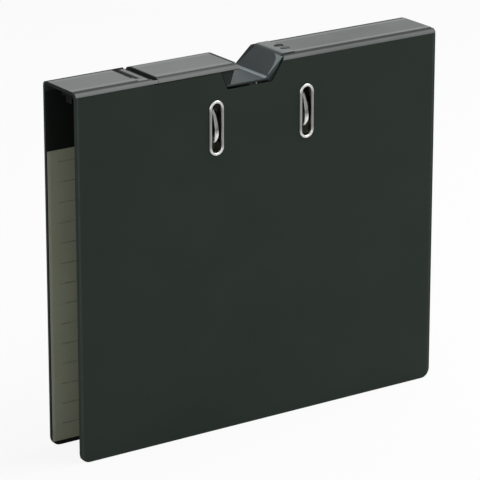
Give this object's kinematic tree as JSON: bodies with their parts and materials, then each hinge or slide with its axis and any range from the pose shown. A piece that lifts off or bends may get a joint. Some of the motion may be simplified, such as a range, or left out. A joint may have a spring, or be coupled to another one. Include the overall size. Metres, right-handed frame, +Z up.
{
  "type": "hanging lever arch file",
  "caption": "Black board file that hangs spine up from pull-out hooks, with a lever arch inside, metal-rimmed slots in the front cover and a finger recess in the spine.",
  "frame": {"origin": "middle of the file's footprint, on the surface that the covers' bottom edges stand on", "axes": "+X along the spine, -Y out of the front cover with the slots, +Z up to the spine"},
  "size_m": [0.318, 0.0472, 0.2808],
  "materials": {
    "cover_board": "solid greyboard in a fine matt paper covering, near black with a green cast",
    "spine_board": "solid greyboard in a matt grey bookcloth",
    "lining_paper": "matt olive-grey paper with faint ruled lines",
    "grip_plastic": "satin blue-grey moulding",
    "black_plastic": "satin black moulding",
    "black_paint": "satin black paint",
    "nickel": "bright nickel plating"
  },
  "bodies": {
    "spine": {"spine_left": "spine_board", "spine_right": "spine_board", "front_crease": "cover_board", "back_crease": "cover_board", "flap_strip": "spine_board", "grip_trough": "grip_plastic", "trough_clips": "black_plastic", "left_rail": "black_paint", "right_rail": "black_paint", "hook_stops": "nickel"},
    "front_cover": {"front_cover": "cover_board", "front_edges": "spine_board", "front_lining": "lining_paper", "slot_rims": "nickel"},
    "back_cover": {"back_cover": "cover_board", "back_edges": "spine_board", "back_lining": "lining_paper", "base_plate": "nickel", "base_rivets": "nickel", "posts": "nickel", "lever_pin": "nickel"},
    "arch": {"arch": "nickel"},
    "lever": {"lever": "nickel", "lever_cap": "black_plastic", "roller_pin": "nickel"},
    "roller": {"roller": "nickel"},
    "compressor": {"compressor_bar": "nickel"},
    "left_hook": {"left_hook": "black_paint"},
    "right_hook": {"right_hook": "black_paint"},
    "grip_flap": {"grip_flap": "spine_board"}
  },
  "joints": [
    {"name": "front_cover_hinge", "type": "hinge", "parent": "spine", "child": "front_cover", "pos_m": [0, -0.0179, 0.2797], "axis": [-1, 0, 0], "range_deg": [0, 120]},
    {"name": "back_cover_hinge", "type": "hinge", "parent": "spine", "child": "back_cover", "pos_m": [0, 0.0179, 0.2797], "axis": [1, 0, 0], "range_deg": [0, 90]},
    {"name": "lever_pivot", "type": "hinge", "parent": "back_cover", "child": "lever", "pos_m": [0, 0.008, 0.2505], "axis": [-1, 0, 0], "range_deg": [0, 74]},
    {"name": "arch_pivot", "type": "hinge", "parent": "back_cover", "child": "arch", "pos_m": [0, 0.013, 0.257], "axis": [-1, 0, 0], "range_deg": [0, 32.2]},
    {"name": "roller_spin", "type": "hinge", "parent": "lever", "child": "roller", "pos_m": [0, 0.00857, 0.24402], "axis": [1, 0, 0], "continuous": true},
    {"name": "compressor_slide", "type": "slide", "parent": "back_cover", "child": "compressor", "axis": [0, -1, 0], "range_m": [0, 0.013]},
    {"name": "left_hook_slide", "type": "slide", "parent": "spine", "child": "left_hook", "axis": [-1, 0, 0], "range_m": [0, 0.026]},
    {"name": "right_hook_slide", "type": "slide", "parent": "spine", "child": "right_hook", "axis": [1, 0, 0], "range_m": [0, 0.026]},
    {"name": "grip_flap_hinge", "type": "hinge", "parent": "spine", "child": "grip_flap", "pos_m": [-0.0915, 0, 0.278], "axis": [0, -1, 0], "range_deg": [0, 75]}
  ],
  "couplings": [
    {"joint": "lever_pivot", "follows": "front_cover_hinge", "ratio": 0.6166},
    {"joint": "arch_pivot", "follows": "front_cover_hinge", "ratio": 0.268}
  ]
}
